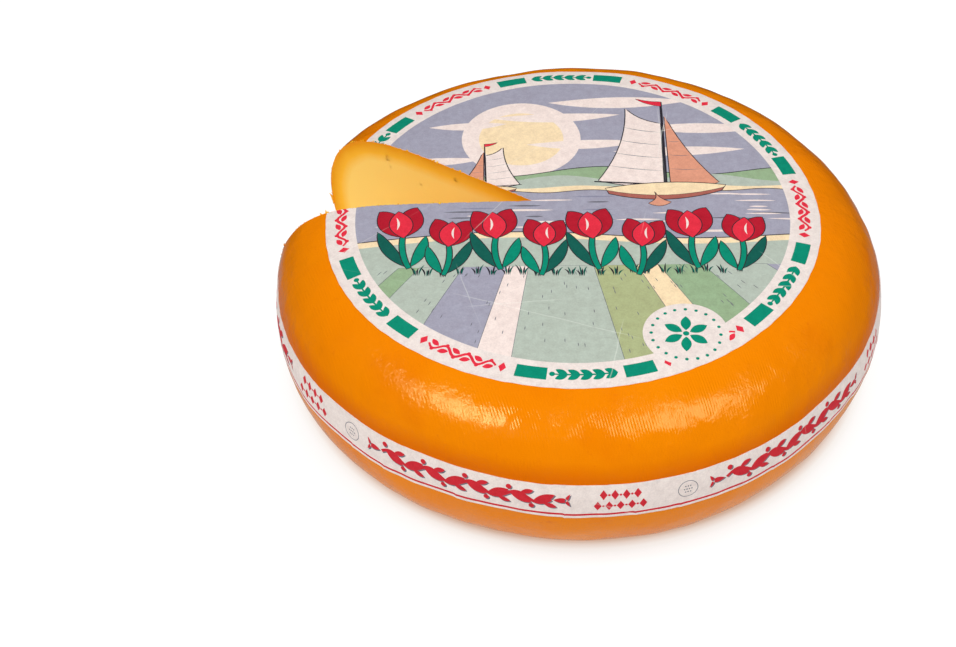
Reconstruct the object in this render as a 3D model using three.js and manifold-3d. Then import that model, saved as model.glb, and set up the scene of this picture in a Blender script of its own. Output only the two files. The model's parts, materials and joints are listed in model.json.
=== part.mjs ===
import * as THREE from 'three';
import { mergeVertices } from 'three/addons/utils/BufferGeometryUtils.js';
import Module from 'manifold-3d';

// A wheel of young gouda in its yellow coat, with a wedge cut out of it, a round paper label on
// its top and a paper band round its side. Millimetres, +Z up, the origin on the wheel's axis
// at the face that it rests on. Bearings are degrees from +X, anticlockwise from above.

// The wheel
const wheelRadius = 190;
const wheelHeight = 126.5;
const widestHeight = 71.5;
const baseRadius = 128;

// How square the shoulder and the foot are: the powers of their superellipses
const shoulder = { across: 9, upright: 1.85 };
const foot = { across: 1.6, upright: 2.38 };

// Slow swells round the wheel, left by pressing and by lying on a shelf
const swells = [
  { waves: 2, rise: 0.5, bearing: 75 },
  { waves: 5, rise: 0.8, bearing: 68 },
];

// The missing wedge: two upright knife cuts that meet at a point short of the axis
const notchApex = new THREE.Vector2(-28.5, 16);
const farCutBearing = 149.1;
const nearCutBearing = 183.7;

// The paper: how far it stands off the coat, its thickness, and where each piece lies
const paperGap = 0.35;
const paperThickness = 0.6;
const labelRadius = 153;
const labelCentre = new THREE.Vector2(-3.8, 4.9);
const bandBottom = 60;
const bandTop = 85.7;

// Eyes that the knife opened: the way along the cut from the apex, height and half-lengths
const farCutEyes = [
  { along: 109.8, height: 113.7, half: 2.2, tall: 2.8 },
  { along: 57.3, height: 118.2, half: 1.8, tall: 1.5 },
  { along: 92, height: 61, half: 4.6, tall: 3.6 },
  { along: 99, height: 54, half: 3.4, tall: 4.2 },
  { along: 34, height: 84, half: 2.4, tall: 3.1 },
  { along: 128, height: 38, half: 3.2, tall: 2.3 },
  { along: 63, height: 27, half: 2.6, tall: 2 },
];
const nearCutEyes = [
  { along: 118, height: 96, half: 3, tall: 2.2 },
  { along: 74, height: 104, half: 2, tall: 2.9 },
  { along: 88, height: 47, half: 5.2, tall: 4.1 },
  { along: 40, height: 66, half: 2.5, tall: 2.5 },
  { along: 139, height: 63, half: 2.3, tall: 3.3 },
  { along: 28, height: 31, half: 3.3, tall: 2.4 },
];
const eyeDepth = 0.8;

// How finely the rounded surfaces are divided
const divisions = { round: 96, shoulder: 16, foot: 12, bandHeight: 3, eyeRound: 10, eyeTall: 7 };
const labelRings = [80, 112, 128, 138, 146, labelRadius];

// Colours from the photograph
const coatColour = 0xdc8a1e;
const labelColour = 0xb9bcb8;
const bandColour = 0xe9dcd6;

const wasm = await Module();
wasm.setup();

function radians(bearing) {
  return THREE.MathUtils.degToRad(bearing);
}

// Height of the crown above a point at this distance from the axis
function crownHeight(radius) {
  const across = (radius / wheelRadius) ** shoulder.across;
  return widestHeight + (wheelHeight - widestHeight) * (1 - across) ** (1 / shoulder.upright);
}

// Distance from the axis to the wheel's side at this height
function sideRadius(height) {
  if (height >= widestHeight) {
    const up = ((height - widestHeight) / (wheelHeight - widestHeight)) ** shoulder.upright;
    return wheelRadius * (1 - up) ** (1 / shoulder.across);
  }
  const down = ((widestHeight - height) / widestHeight) ** foot.upright;
  return baseRadius + (wheelRadius - baseRadius) * (1 - down) ** (1 / foot.across);
}

// A superellipse's point at an angle, as shares of its two half-lengths
function superellipsePoint(angle, powers) {
  return {
    across: Math.sin(angle) ** (2 / powers.across),
    upright: Math.cos(angle) ** (2 / powers.upright),
  };
}

// The wheel's half section, from the middle of its base round its side to the middle of its top
function wheelProfile() {
  const points = [new THREE.Vector2(0, 0), new THREE.Vector2(baseRadius, 0)];
  for (let step = 1; step <= divisions.foot; step += 1) {
    const { across, upright } = superellipsePoint((step / divisions.foot) * (Math.PI / 2), foot);
    const radius = baseRadius + (wheelRadius - baseRadius) * across;
    points.push(new THREE.Vector2(radius, widestHeight * (1 - upright)));
  }
  for (let step = divisions.shoulder - 1; step >= 0; step -= 1) {
    const angle = (step / divisions.shoulder) * (Math.PI / 2);
    const { across, upright } = superellipsePoint(angle, shoulder);
    const height = widestHeight + (wheelHeight - widestHeight) * upright;
    points.push(new THREE.Vector2(wheelRadius * across, height));
  }
  return points;
}

// Spins a half section, closed on itself or on the axis, round the upright axis
function spin(points) {
  return new THREE.LatheGeometry(points, divisions.round).rotateX(Math.PI / 2);
}

// Moves every point by a rule that takes its place and changes it
function reshape(geometry, rule) {
  const positions = geometry.attributes.position;
  const point = new THREE.Vector3();
  for (let index = 0; index < positions.count; index += 1) {
    rule(point.fromBufferAttribute(positions, index));
    positions.setXYZ(index, point.x, point.y, point.z);
  }
  return geometry;
}

// Swells a point outwards, more towards the wheel's side
function swell(point) {
  const bearing = Math.atan2(point.y, point.x);
  const rise = swells.reduce(
    (sum, wave) => sum + wave.rise * Math.cos(wave.waves * (bearing - radians(wave.bearing))),
    0,
  );
  const reach = Math.hypot(point.x, point.y) / wheelRadius;
  const scale = 1 + (rise / wheelRadius) * reach ** 2;
  point.x *= scale;
  point.y *= scale;
}

// Merges a geometry's shared corners, drops the flat triangles at its poles and makes it solid
function toSolid(geometry) {
  const bare = geometry.clone();
  bare.deleteAttribute('normal');
  bare.deleteAttribute('uv');
  const merged = mergeVertices(bare);
  const corners = merged.index.array;
  const kept = [];
  for (let start = 0; start < corners.length; start += 3) {
    const [first, second, third] = corners.slice(start, start + 3);
    if (first !== second && second !== third && third !== first) {
      kept.push(first, second, third);
    }
  }
  return new wasm.Manifold(new wasm.Mesh({
    numProp: 3,
    vertProperties: new Float32Array(merged.attributes.position.array),
    triVerts: new Uint32Array(kept),
  }));
}

function toGeometry(solid) {
  const { vertProperties, triVerts } = solid.getMesh();
  const geometry = new THREE.BufferGeometry();
  geometry.setAttribute('position', new THREE.BufferAttribute(vertProperties, 3));
  geometry.setIndex(new THREE.BufferAttribute(triVerts, 1));
  geometry.computeVertexNormals();
  return geometry;
}

// The missing wedge as a tall prism that passes both faces and the side
function makeNotch() {
  const reach = 1.4 * wheelRadius;
  const overrun = 10;
  const outline = new THREE.Shape([farCutBearing, nearCutBearing].reduce((corners, bearing) => {
    const way = new THREE.Vector2(Math.cos(radians(bearing)), Math.sin(radians(bearing)));
    return [...corners, notchApex.clone().addScaledVector(way, reach)];
  }, [notchApex]));
  const depth = wheelHeight + 2 * overrun;
  const prism = new THREE.ExtrudeGeometry(outline, { depth, bevelEnabled: false });
  return toSolid(prism.translate(0, 0, -overrun));
}

// A flattened ball that opens a hollow in a cut face, whose inward side is given as a sign
function makeEye({ along, height, half, tall }, bearing, side) {
  const ball = new THREE.SphereGeometry(1, divisions.eyeRound, divisions.eyeTall);
  const sunk = side * half * eyeDepth * 0.25;
  ball.scale(half, half * eyeDepth, tall).translate(along, sunk, height).rotateZ(radians(bearing));
  return toSolid(ball.translate(notchApex.x, notchApex.y, 0));
}

// The cheese: the whole wheel, less the wedge and the eyes along both cuts
function makeWheel(notch) {
  let solid = toSolid(reshape(spin(wheelProfile()), swell)).subtract(notch);
  for (const eye of farCutEyes) {
    solid = solid.subtract(makeEye(eye, farCutBearing, -1));
  }
  for (const eye of nearCutEyes) {
    solid = solid.subtract(makeEye(eye, nearCutBearing, 1));
  }
  return solid;
}

// The round label: a thin disc draped over the crown, a little off the middle
function makeLabel(notch) {
  const under = labelRings.map((radius) => new THREE.Vector2(radius, 0));
  const over = labelRings.map((radius) => new THREE.Vector2(radius, paperThickness)).reverse();
  const section = [new THREE.Vector2(0, 0), ...under, ...over, new THREE.Vector2(0, paperThickness)];
  const disc = reshape(spin(section), (point) => {
    point.x += labelCentre.x;
    point.y += labelCentre.y;
    point.z += crownHeight(Math.hypot(point.x, point.y)) + paperGap;
    swell(point);
  });
  return toSolid(disc).subtract(notch);
}

// The band: a thin hoop that follows the wheel's side
function makeBand(notch) {
  const inside = [];
  const outside = [];
  for (let step = 0; step <= divisions.bandHeight; step += 1) {
    const height = bandBottom + ((bandTop - bandBottom) * step) / divisions.bandHeight;
    const radius = sideRadius(height) + paperGap;
    inside.push(new THREE.Vector2(radius, height));
    outside.push(new THREE.Vector2(radius + paperThickness, height));
  }
  const section = [...outside, ...inside.reverse(), outside[0]];
  return toSolid(reshape(spin(section), swell)).subtract(notch);
}

function makePiece(name, solid, color, roughness) {
  const material = new THREE.MeshStandardMaterial({ color, roughness, metalness: 0 });
  const mesh = new THREE.Mesh(toGeometry(solid), material);
  mesh.name = name;
  return mesh;
}

const notch = makeNotch();
const cheese = new THREE.Group();
cheese.add(makePiece('cheese_wheel', makeWheel(notch), coatColour, 0.35));
cheese.add(makePiece('top_label', makeLabel(notch), labelColour, 0.7));
cheese.add(makePiece('side_band', makeBand(notch), bandColour, 0.7));

export default cheese;
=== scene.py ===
# %% [markdown]
# # A wheel of young gouda
# The real thing is a flat round cheese of some twelve kilos, in a glossy yellow coat, with a
# wedge cut out of it, a round paper label on its top and a paper band round its side. The fixed
# frame gives its size. Everything below dresses that frame: the coat and the cut paste, the two
# printed papers, and the crumbs that the knife left.

# %% Load the frame
import json
import math

import bpy
import numpy as np
from mathutils import Matrix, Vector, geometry

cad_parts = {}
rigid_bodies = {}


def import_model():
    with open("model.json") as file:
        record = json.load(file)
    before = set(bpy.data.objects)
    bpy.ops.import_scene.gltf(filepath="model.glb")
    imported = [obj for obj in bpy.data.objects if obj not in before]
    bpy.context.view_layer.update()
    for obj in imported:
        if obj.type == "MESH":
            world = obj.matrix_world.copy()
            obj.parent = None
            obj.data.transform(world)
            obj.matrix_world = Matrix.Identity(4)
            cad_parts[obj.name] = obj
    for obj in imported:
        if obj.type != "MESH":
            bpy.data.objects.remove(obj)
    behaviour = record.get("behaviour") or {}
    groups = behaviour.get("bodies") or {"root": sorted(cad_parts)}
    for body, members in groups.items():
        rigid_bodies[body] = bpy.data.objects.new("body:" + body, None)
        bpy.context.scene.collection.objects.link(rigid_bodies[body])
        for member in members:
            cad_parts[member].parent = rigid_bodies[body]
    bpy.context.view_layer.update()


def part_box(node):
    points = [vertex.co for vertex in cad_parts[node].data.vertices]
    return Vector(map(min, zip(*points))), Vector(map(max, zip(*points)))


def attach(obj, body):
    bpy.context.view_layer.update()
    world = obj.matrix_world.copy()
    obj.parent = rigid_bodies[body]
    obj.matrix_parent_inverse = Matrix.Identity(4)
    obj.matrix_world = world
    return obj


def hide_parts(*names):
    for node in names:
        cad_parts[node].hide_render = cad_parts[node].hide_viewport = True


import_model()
MM = 0.001

# %% [markdown]
# ## The camera
# The photograph looks down on the wheel through a long lens. Its angle, distance and aim were
# found by matching the wheel's outline, so the render can be laid over the photograph. A camera
# looks along its own -Z, so its matrix is made of where right, up and back point.

# %% Set the camera
WHEEL_R = 190 * MM
PHOTO_W, PHOTO_H = 956, 647
FOCAL_PX = 2500
ELEVATION = math.radians(43.42)
DISTANCE = 8.571 * WHEEL_R
ROLL = math.radians(0.952)
BASE_AT_PX = (575.3, 367.0)
SENSOR = 36.0


def photo_camera():
    """Places the camera: it starts aimed at the middle of the base, is rolled, then tilted and
    turned until that point falls on its pixel of the photograph."""
    place = DISTANCE * np.array([0, -math.cos(ELEVATION), math.sin(ELEVATION)])
    ahead = -place / np.linalg.norm(place)
    right = np.cross(ahead, [0, 0, 1])
    right /= np.linalg.norm(right)
    down = np.cross(ahead, right)
    turn = math.atan2(BASE_AT_PX[0] - PHOTO_W / 2, FOCAL_PX)
    tilt = math.atan2((BASE_AT_PX[1] - PHOTO_H / 2) * math.cos(turn), FOCAL_PX)
    c, s = math.cos(ROLL), math.sin(ROLL)
    rolled = np.array([[c, -s, 0], [s, c, 0], [0, 0, 1]]) @ [right, down, ahead]
    c, s = math.cos(tilt), math.sin(tilt)
    tilted = np.array([[1, 0, 0], [0, c, s], [0, -s, c]]) @ rolled
    c, s = math.cos(turn), math.sin(turn)
    right, down, ahead = np.array([[c, 0, s], [0, 1, 0], [-s, 0, c]]) @ tilted
    data = bpy.data.cameras.new("photo_camera")
    data.sensor_width = SENSOR
    data.lens = FOCAL_PX / PHOTO_W * SENSOR
    camera = bpy.data.objects.new("photo_camera", data)
    rows = np.column_stack([right, -down, -ahead, place])
    camera.matrix_world = Matrix([*rows.tolist(), [0, 0, 0, 1]])
    bpy.context.scene.collection.objects.link(camera)
    bpy.context.scene.camera = camera
    return camera


camera = photo_camera()
print("camera at", [round(x, 3) for x in camera.location], "lens", round(camera.data.lens, 1), "mm")

# %% [markdown]
# ## Meshes from arrays
# Each new surface is worked out as a grid of points with numpy, all at once. A grid becomes quads,
# and where it closes on itself its last column is joined to its first one.

# %% Turn a grid into a mesh
def grid_faces(rows, columns, closed=False):
    """Quads of a grid of points: each point with its neighbour in the row and in the next row."""
    index = np.arange(rows * columns).reshape(rows, columns)
    if closed:
        index = np.column_stack([index, index[:, :1]])
    quads = np.stack([index[:-1, :-1], index[:-1, 1:], index[1:, 1:], index[1:, :-1]], -1)
    return quads.reshape(-1, 4)


def make_piece(name, points, faces, smooth=True):
    """A mesh object at the origin from points in metres and a list or array of faces."""
    mesh = bpy.data.meshes.new(name)
    faces = [face.tolist() if hasattr(face, "tolist") else face for face in faces]
    mesh.from_pydata(np.asarray(points, float).reshape(-1, 3).tolist(), [], faces)
    mesh.shade_smooth() if smooth else mesh.shade_flat()
    mesh.update()
    piece = bpy.data.objects.new(name, mesh)
    bpy.context.scene.collection.objects.link(piece)
    return piece


# %% [markdown]
# ## The wheel's form
# Pressing and lying on a shelf give a gouda its shape: a flat top and base with a shoulder and a
# foot that bulge. Both bulges follow a superellipse, where the shares of the two half-lengths,
# each raised to a power of its own, add up to one. A few slow waves round the side and a fine
# random relief keep it from looking turned on a lathe.

# %% The section and its unevenness
WHEEL_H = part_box("cheese_wheel")[1].z
WIDEST_Z = 71.5 * MM
BASE_R = 128 * MM
SHOULDER_POWERS = (9, 1.85)
FOOT_POWERS = (1.6, 2.38)
SWELLS = [(2, 0.5 * MM, 75), (5, 0.8 * MM, 68)]


def crown_height(radius):
    """Height of the upper surface: one less the radius's share to its power, rooted upright."""
    across, upright = SHOULDER_POWERS
    left = np.clip(1 - (radius / WHEEL_R) ** across, 0, 1)
    return WIDEST_Z + (WHEEL_H - WIDEST_Z) * left ** (1 / upright)


def side_radius(height):
    """Radius of the wheel's side at a height, from the same two superellipses."""
    up = np.clip((height - WIDEST_Z) / (WHEEL_H - WIDEST_Z), 0, 1)
    down = np.clip((WIDEST_Z - height) / WIDEST_Z, 0, 1)
    above = WHEEL_R * (1 - up ** SHOULDER_POWERS[1]) ** (1 / SHOULDER_POWERS[0])
    below = BASE_R + (WHEEL_R - BASE_R) * (1 - down ** FOOT_POWERS[1]) ** (1 / FOOT_POWERS[0])
    return np.where(height >= WIDEST_Z, above, below)


def swelled(points):
    """Moves points outwards by the sum of the slow waves at their bearing, times the square of
    their distance from the axis as a share of the wheel's radius."""
    x, y, z = np.moveaxis(np.asarray(points, float), -1, 0)
    bearing = np.arctan2(y, x)
    rise = sum(high * np.cos(waves * (bearing - math.radians(at))) for waves, high, at in SWELLS)
    scale = 1 + rise / WHEEL_R * (x * x + y * y) / WHEEL_R ** 2
    return np.stack([x * scale, y * scale, z], -1)


def ripple(points, scale, seed, waves=28):
    """Smooth random relief from -1 to 1 or so: the mean of many cosine waves that run in random
    directions, each about one scale long, brought to unit spread."""
    draw = np.random.default_rng(seed)
    way = draw.normal(size=(waves, 3))
    way /= np.linalg.norm(way, axis=1)[:, None]
    pace = 2 * math.pi / (scale * draw.uniform(0.7, 1.6, waves))
    phase = draw.uniform(0, 2 * math.pi, waves)
    total = np.zeros(np.shape(points)[:-1])
    for one in range(waves):
        total += np.cos(points @ (way[one] * pace[one]) + phase[one])
    return total * math.sqrt(2 / waves) / 1.5


def relief(points):
    """Height of the coat's hand-made unevenness in metres. It is strongest on the side and the
    shoulder, weak under the label, and none at the base, which the shelf kept flat."""
    radius = np.hypot(points[..., 0], points[..., 1])
    edge = np.clip((radius / WHEEL_R - 0.72) / 0.2, 0, 1)
    lift = np.clip(points[..., 2] / (18 * MM), 0, 1)
    broad = 0.42 * MM * ripple(points, 60 * MM, 3)
    dents = 0.16 * MM * ripple(points, 17 * MM, 5)
    return (broad + dents) * (0.12 + 0.88 * edge) * lift * lift * (3 - 2 * lift)


print("wheel", round(2 * WHEEL_R, 3), "wide,", round(WHEEL_H, 4), "high")

# %% [markdown]
# ## The notch and the eyes
# A knife made two upright cuts that meet at a point short of the axis. The wheel is a closed
# surface of revolution, so the cheese is best made as the cook makes it: the whole wheel first,
# then the wedge taken out by a Boolean. The knife's faces wander a little. The eyes are gas holes
# that the knife opened, and rounded lumps of odd shape take them out of the cut faces.

# %% Places of the cuts and eyes
APEX = np.array([-28.5, 16.0]) * MM
FAR_CUT = math.radians(149.1)
NEAR_CUT = math.radians(183.7)
# Along the cut from the apex, height, half-length and half-height, in millimetres
FAR_EYES = [
    (109.8, 113.7, 2.2, 2.8), (57.3, 118.2, 1.8, 1.5), (92, 61, 4.6, 3.6), (99, 54, 3.4, 4.2),
    (34, 84, 2.4, 3.1), (128, 38, 3.2, 2.3), (63, 27, 2.6, 2.0),
]
NEAR_EYES = [
    (118, 96, 3.0, 2.2), (74, 104, 2.0, 2.9), (88, 47, 5.2, 4.1), (40, 66, 2.5, 2.5),
    (139, 63, 2.3, 3.3), (28, 31, 3.3, 2.4),
]
PINHOLES = 16


def cut_frame(bearing):
    """The way along a cut from the apex, and the way into the cheese that lies past it."""
    along = np.array([math.cos(bearing), math.sin(bearing), 0])
    inward = np.array([math.sin(bearing), -math.cos(bearing), 0])
    return along, inward if bearing == FAR_CUT else -inward


def on_cut(bearing, along, height, depth=0.0):
    """Points at these lengths along a cut and these heights, sunk by a depth into the cheese."""
    way, inward = cut_frame(bearing)
    foot = np.array([APEX[0], APEX[1], 0])
    sideways = np.multiply.outer(along, way) + np.multiply.outer(depth, inward)
    return foot + sideways + np.multiply.outer(height, [0, 0, 1])


print("cuts at", round(math.degrees(FAR_CUT), 1), "and", round(math.degrees(NEAR_CUT), 1), "degrees")

# %% The whole wheel
ROUND, SHOULDER_ROWS, FOOT_ROWS = 400, 84, 56


def wheel_section():
    """The half section as radii and heights, from the base's middle to the top's: flat rings, then
    the foot's and the shoulder's superellipses by the angle, then rings towards the axis."""
    turn = np.linspace(0, math.pi / 2, FOOT_ROWS)
    foot_r = BASE_R + (WHEEL_R - BASE_R) * np.sin(turn) ** (2 / FOOT_POWERS[0])
    foot_z = WIDEST_Z * (1 - np.cos(turn) ** (2 / FOOT_POWERS[1]))
    turn = np.linspace(math.pi / 2, 0.05, SHOULDER_ROWS)[1:]
    top_r = WHEEL_R * np.sin(turn) ** (2 / SHOULDER_POWERS[0])
    base = np.linspace(0.1, 0.9, 5) * BASE_R
    crown = np.linspace(0.9, 0.1, 5) * top_r[-1]
    top_r = np.concatenate([top_r, crown])
    radii = np.concatenate([base, foot_r, top_r])
    return radii, np.concatenate([0 * base, foot_z, crown_height(top_r)])


def revolve(radii, heights, columns):
    """A closed surface of revolution: rings of a section spun round the axis, with both poles."""
    bearing = np.linspace(0, 2 * math.pi, columns, endpoint=False)
    ring = np.stack([np.cos(bearing), np.sin(bearing)], -1)
    grid = np.concatenate([radii[:, None, None] * ring,
                           np.broadcast_to(heights[:, None, None], (len(radii), columns, 1))], -1)
    points = np.concatenate([grid.reshape(-1, 3), [[0, 0, heights[0]], [0, 0, heights[-1]]]])
    first, last = np.arange(columns), np.arange(columns) + (len(radii) - 1) * columns
    low, high = np.full(columns, len(points) - 2), np.full(columns, len(points) - 1)
    faces = [*grid_faces(len(radii), columns, closed=True),
             *np.stack([np.roll(first, -1), first, low], -1),
             *np.stack([last, np.roll(last, -1), high], -1)]
    return points, faces


def outward(points):
    """The coat's outward way: level at the side, upright on the faces, by the section's slope."""
    radius = np.hypot(points[:, 0], points[:, 1])
    span = np.where(points[:, 2] > WIDEST_Z, WHEEL_H - WIDEST_Z, WIDEST_Z)
    level = points[:, :2] / np.maximum(radius, MM)[:, None] * ((radius / WHEEL_R) ** 6)[:, None]
    way = np.column_stack([level, (points[:, 2] - WIDEST_Z) / span])
    return way / np.linalg.norm(way, axis=1)[:, None]


wheel_points, wheel_faces = revolve(*wheel_section(), ROUND)
wheel_points = wheel_points + outward(wheel_points) * relief(wheel_points)[:, None]
cheese = make_piece("cheese", swelled(wheel_points), wheel_faces)
print("whole wheel:", len(wheel_faces), "faces")

# %% Cutters for the notch and the eyes
KNIFE_WANDER = 0.12 * MM


def knife_block():
    """The wedge that comes out: a V of two knife faces, from below the base to above the top, with
    each face moved off its plane by a slow random wander, closed behind and capped."""
    length, step = 1.35 * WHEEL_R, 2.5 * MM
    along = np.arange(step, length, step)
    heights = np.arange(-10 * MM, WHEEL_H + 12 * MM, step)
    grids = []
    for bearing, reach in ((NEAR_CUT, along[::-1]), (FAR_CUT, along)):
        flat = on_cut(bearing, np.tile(reach, (len(heights), 1)), heights[:, None] + 0 * reach)
        grids.append(flat + cut_frame(bearing)[1] * KNIFE_WANDER * ripple(flat, 30 * MM, 9)[..., None])
    tip = on_cut(FAR_CUT, 0 * heights, heights)[:, None]
    grid = np.concatenate([grids[0], tip, grids[1]], 1)
    rows, columns = grid.shape[:2]
    caps = [np.arange(columns)[::-1], np.arange(columns) + (rows - 1) * columns]
    return grid.reshape(-1, 3), [*grid_faces(rows, columns, closed=True), *caps]


def eye_block(bearing, along, height, half, tall, seed):
    """A lumpy ball, a little flatter into the cheese: a sphere times one plus a slow ripple."""
    turn = np.linspace(0, math.pi, 17)[1:-1]
    points, faces = revolve(np.sin(turn), -np.cos(turn), 28)
    points = points * (1 + 0.13 * ripple(points, 1.6, seed)[:, None])
    way, inward = cut_frame(bearing)
    scaled = points * [half, 0.8 * half, tall]
    centre = on_cut(bearing, along, height, 0.2 * half)
    return centre + scaled[:, :1] * way + scaled[:, 1:2] * inward + scaled[:, 2:] * [0, 0, 1], faces


def all_eyes():
    """The listed eyes of both cuts, in metres, and a seeded scatter of pinholes."""
    draw = np.random.default_rng(12)
    rows = [(FAR_CUT, *eye) for eye in FAR_EYES] + [(NEAR_CUT, *eye) for eye in NEAR_EYES]
    for one in range(PINHOLES):
        size = draw.uniform(0.5, 1.1)
        place = draw.uniform(14, 140), draw.uniform(16, 112)
        rows.append(((FAR_CUT, NEAR_CUT)[one % 2], *place, size, size * draw.uniform(0.7, 1.4)))
    return [(row[0], *(MM * value for value in row[1:])) for row in rows]


cutters = bpy.data.collections.new("cutters")
bpy.context.scene.collection.children.link(cutters)
blocks = [knife_block()] + [eye_block(*eye, seed) for seed, eye in enumerate(all_eyes())]
for block in blocks:
    cutter = make_piece("cutter", *block)
    bpy.context.scene.collection.objects.unlink(cutter)
    cutters.objects.link(cutter)
print(len(blocks) - 1, "eyes and pinholes")

# %% Cut the cheese


def cut_away(piece, collection):
    """Takes every object of a collection out of a piece by one Boolean and keeps the result."""
    cut = piece.modifiers.new("cut", "BOOLEAN")
    cut.operation = "DIFFERENCE"
    cut.operand_type = "COLLECTION"
    cut.collection = collection
    cut.solver = "MANIFOLD"
    bpy.context.view_layer.update()
    done = bpy.data.meshes.new_from_object(piece.evaluated_get(bpy.context.evaluated_depsgraph_get()))
    piece.modifiers.clear()
    piece.data = done
    for one in list(collection.objects):
        bpy.data.objects.remove(one)
    bpy.data.collections.remove(collection)


cut_away(cheese, cutters)
print("cheese:", len(cheese.data.vertices), "points,", len(cheese.data.polygons), "faces")

# %% Tell the paste from the coat
PROFILE_R, PROFILE_Z = wheel_section()


def array_of(items, field, width):
    """One field of a mesh's items as an array."""
    values = np.empty(len(items) * width, np.float32)
    items.foreach_get(field, values)
    return values.reshape(-1, width) if width > 1 else values


def coat_distance(points):
    """Distance to the nearest point of the finely divided section, in the radius-height plane."""
    fine = np.linspace(0, len(PROFILE_R) - 1, 900)
    steps = np.arange(len(PROFILE_R))
    section = np.stack([np.interp(fine, steps, PROFILE_R), np.interp(fine, steps, PROFILE_Z)], -1)
    flat = np.stack([np.hypot(points[:, 0], points[:, 1]), points[:, 2]], -1)
    nearest = [np.sqrt(((part[:, None] - section) ** 2).sum(-1)).min(1)
               for part in np.array_split(flat, max(1, len(flat) // 4000))]
    return np.concatenate(nearest)


def paste_faces(mesh):
    """Faces that lie on a knife cut, or deeper in the cheese than the coat's relief reaches."""
    centre, normal = array_of(mesh.polygons, "center", 3), array_of(mesh.polygons, "normal", 3)
    found = coat_distance(centre) > 2.2 * MM
    for bearing in (FAR_CUT, NEAR_CUT):
        way, inward = cut_frame(bearing)
        offset = centre - on_cut(bearing, 0, 0)
        near = np.abs(offset @ inward) < 4 * KNIFE_WANDER
        found |= near & (np.abs(normal @ inward) > 0.8) & (offset @ way > -MM)
    return found


def rind_depth(places):
    """Depth under the coat in millimetres, with a painted glow in the eyes: points well behind both knife
    faces count as lying near the rind, so the insides of the eyes take the rind's orange, standing in for
    light that scatters through the paste."""
    depth = coat_distance(places) / MM
    behind = [np.abs((places - on_cut(bearing, 0, 0)) @ cut_frame(bearing)[1])
              for bearing in (FAR_CUT, NEAR_CUT)]
    return np.where((depth > 6) & (np.minimum(*behind) > 0.7 * MM), 6, depth)


paste = paste_faces(cheese.data)
depth = cheese.data.attributes.new("rind_depth", "FLOAT", "POINT")
depth.data.foreach_set("value", rind_depth(array_of(cheese.data.vertices, "co", 3)).astype(np.float32))
cheese.data.set_sharp_from_angle(angle=math.radians(38))
print("paste faces:", int(paste.sum()), "of", len(paste))

# %% [markdown]
# ## Shader maths
# A material is a tree of nodes. To keep its sums readable, a number in the tree is wrapped in a
# small class, so that plus, minus and times add the Math nodes themselves. Every other node comes
# from one method that takes its type, its settings and its inputs.

# %% Number and Finish
class Number:
    """A number in a material's node tree that can be added, scaled and compared."""

    def __init__(self, finish, socket):
        self.finish, self.socket = finish, socket

    def math(self, operation, first, second=None, clamp=False):
        inputs = {0: first} if second is None else {0: first, 1: second}
        settings = {"operation": operation, "use_clamp": clamp}
        return self.finish.node("ShaderNodeMath", settings, inputs)

    def __add__(self, other):
        return self.math("ADD", self, other)

    def __sub__(self, other):
        return self.math("SUBTRACT", self, other)

    def __rsub__(self, other):
        return self.math("SUBTRACT", other, self)

    def __mul__(self, other):
        return self.math("MULTIPLY", self, other)

    def __truediv__(self, other):
        return self.math("DIVIDE", self, other)

    def __pow__(self, other):
        return self.math("POWER", self, other)

    __radd__, __rmul__ = __add__, __mul__

    def sine(self):
        return self.math("SINE", self)

    def bearing(self, other):
        return self.math("ARCTAN2", self, other)

    def share(self, low, high):
        """0 below low, 1 above high and a straight rise between them."""
        return self.math("MULTIPLY", self - low, 1 / (high - low), clamp=True)


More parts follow.
